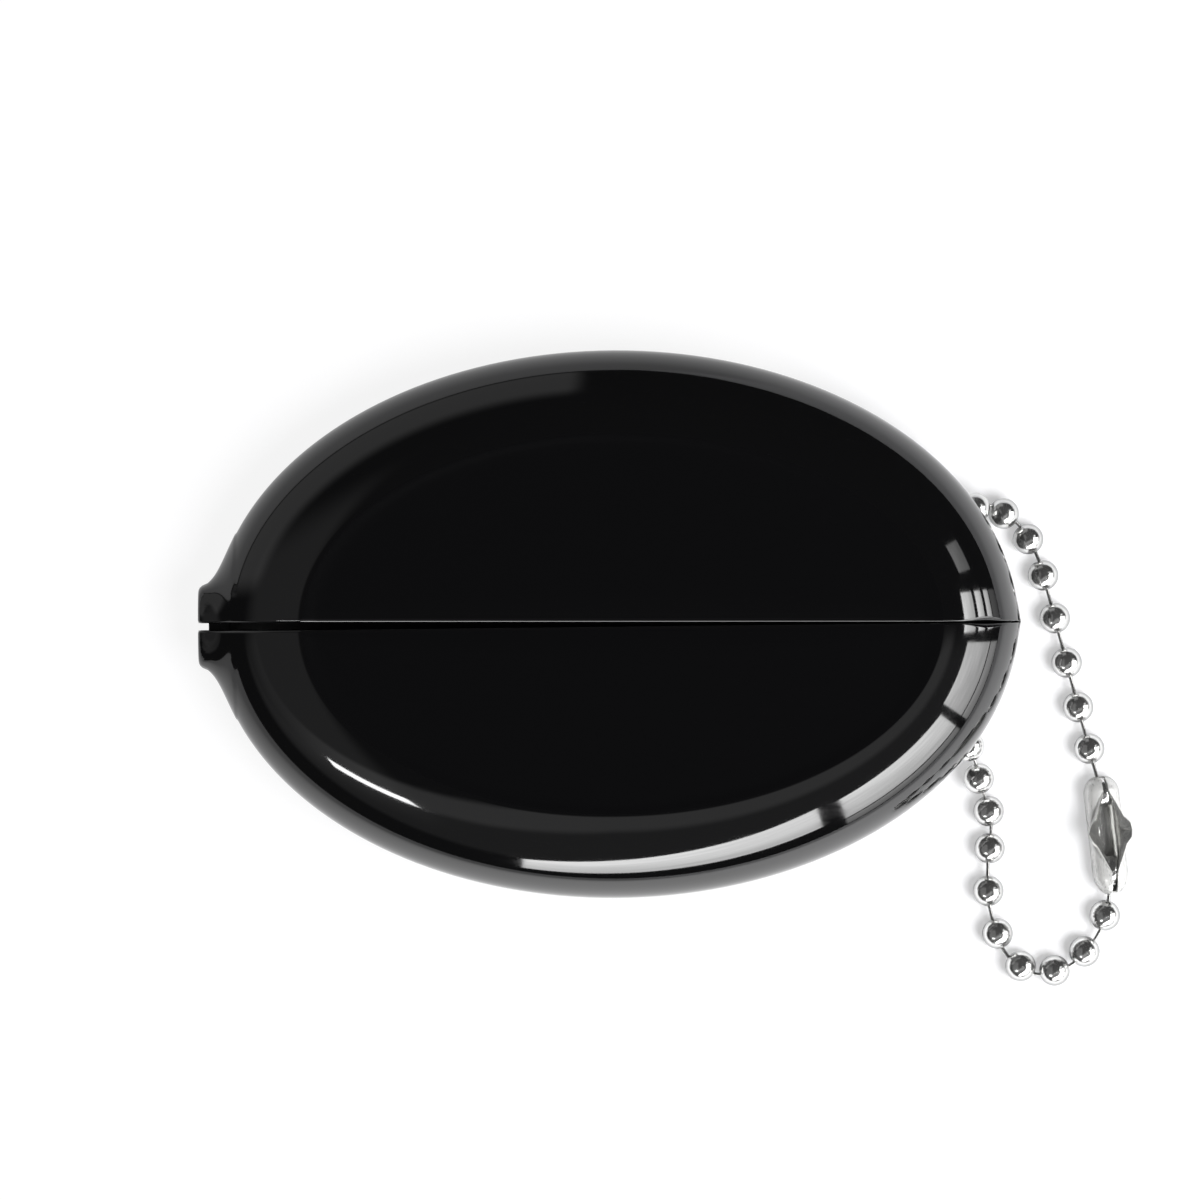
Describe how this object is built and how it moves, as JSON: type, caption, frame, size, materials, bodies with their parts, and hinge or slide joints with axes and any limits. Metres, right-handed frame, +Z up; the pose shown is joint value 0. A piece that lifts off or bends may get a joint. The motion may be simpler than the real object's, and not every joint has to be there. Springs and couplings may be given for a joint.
{
  "type": "squeeze coin purse",
  "caption": "Oval soft-vinyl coin purse, slit along its front, that gapes open when squeezed and springs shut, with a ball-chain loop and coupling through slots in one end.",
  "frame": {"origin": "middle of the pouch's flat back, on the surface it lies on", "axes": "+X along the slit towards the chain end, +Z up through the slit, +Y to the half that is upper in the picture"},
  "size_m": [0.0911, 0.0624, 0.0146],
  "materials": {
    "pouch_vinyl": "glossy moulded soft vinyl",
    "chain_steel": "bright nickel-plated steel"
  },
  "bodies": {
    "pouch_back": {"back_spine": "pouch_vinyl", "bead_10": "chain_steel", "bead_11": "chain_steel", "bead_12": "chain_steel", "bead_13": "chain_steel", "bead_14": "chain_steel", "bead_15": "chain_steel", "pin_09": "chain_steel", "pin_10": "chain_steel", "pin_11": "chain_steel", "pin_12": "chain_steel", "pin_13": "chain_steel", "pin_14": "chain_steel", "pin_15": "chain_steel"},
    "pouch_upper": {"upper_half": "pouch_vinyl"},
    "pouch_lower": {"lower_half": "pouch_vinyl"},
    "chain_near": {"bead_06": "chain_steel", "bead_07": "chain_steel", "bead_08": "chain_steel", "bead_09": "chain_steel", "bead_16": "chain_steel", "pin_06": "chain_steel", "pin_07": "chain_steel", "pin_08": "chain_steel"},
    "chain_side": {"bead_02": "chain_steel", "bead_03": "chain_steel", "bead_04": "chain_steel", "bead_05": "chain_steel", "bead_17": "chain_steel", "pin_02": "chain_steel", "pin_03": "chain_steel", "pin_04": "chain_steel", "pin_05": "chain_steel", "pin_16": "chain_steel"},
    "chain_coupling": {"coupling": "chain_steel", "bead_01": "chain_steel", "bead_26": "chain_steel", "bead_18": "chain_steel", "bead_19": "chain_steel", "pin_01": "chain_steel", "pin_17": "chain_steel", "pin_18": "chain_steel"},
    "chain_lower": {"bead_24": "chain_steel", "bead_25": "chain_steel", "bead_20": "chain_steel", "bead_21": "chain_steel", "pin_24": "chain_steel", "pin_25": "chain_steel", "pin_19": "chain_steel", "pin_20": "chain_steel"},
    "chain_far": {"bead_22": "chain_steel", "bead_23": "chain_steel", "pin_21": "chain_steel", "pin_22": "chain_steel", "pin_23": "chain_steel"}
  },
  "joints": [
    {"name": "mouth_upper", "type": "hinge", "parent": "pouch_back", "child": "pouch_upper", "pos_m": [0, 0.011, 0], "axis": [-1, 0, 0], "range_deg": [0, 20], "stiffness_Nm_per_rad": 0.1},
    {"name": "mouth_lower", "type": "hinge", "parent": "pouch_back", "child": "pouch_lower", "pos_m": [0, -0.011, 0], "axis": [1, 0, 0], "range_deg": [0, 20], "stiffness_Nm_per_rad": 0.1},
    {"name": "chain_swing", "type": "hinge", "parent": "pouch_back", "child": "chain_near", "pos_m": [0.03406, -0.00011, 0.00447], "axis": [-0.0063, -0.9999, -0.0143], "range_deg": [0, 30]},
    {"name": "chain_fold_1", "type": "hinge", "parent": "chain_near", "child": "chain_side", "pos_m": [0.03876, -0.00503, 0.00228], "axis": [-0.4012, -0.9121, 0.0841], "range_deg": [0, 24]},
    {"name": "chain_fold_2", "type": "hinge", "parent": "chain_side", "child": "chain_coupling", "pos_m": [0.04133, -0.01521, 0.0017], "axis": [-0.9686, -0.2467, 0.03], "range_deg": [0, 24]},
    {"name": "chain_fold_3", "type": "hinge", "parent": "chain_coupling", "child": "chain_lower", "pos_m": [0.04237, -0.02469, 0.00161], "axis": [-0.9822, 0.1875, -0.0084], "range_deg": [0, 24]},
    {"name": "chain_fold_4", "type": "hinge", "parent": "chain_lower", "child": "chain_far", "pos_m": [0.04132, -0.0326, 0.00151], "axis": [-0.9775, 0.2111, -0.0007], "range_deg": [0, 24]}
  ],
  "couplings": [
    {"joint": "mouth_lower", "follows": "mouth_upper", "ratio": 1}
  ]
}
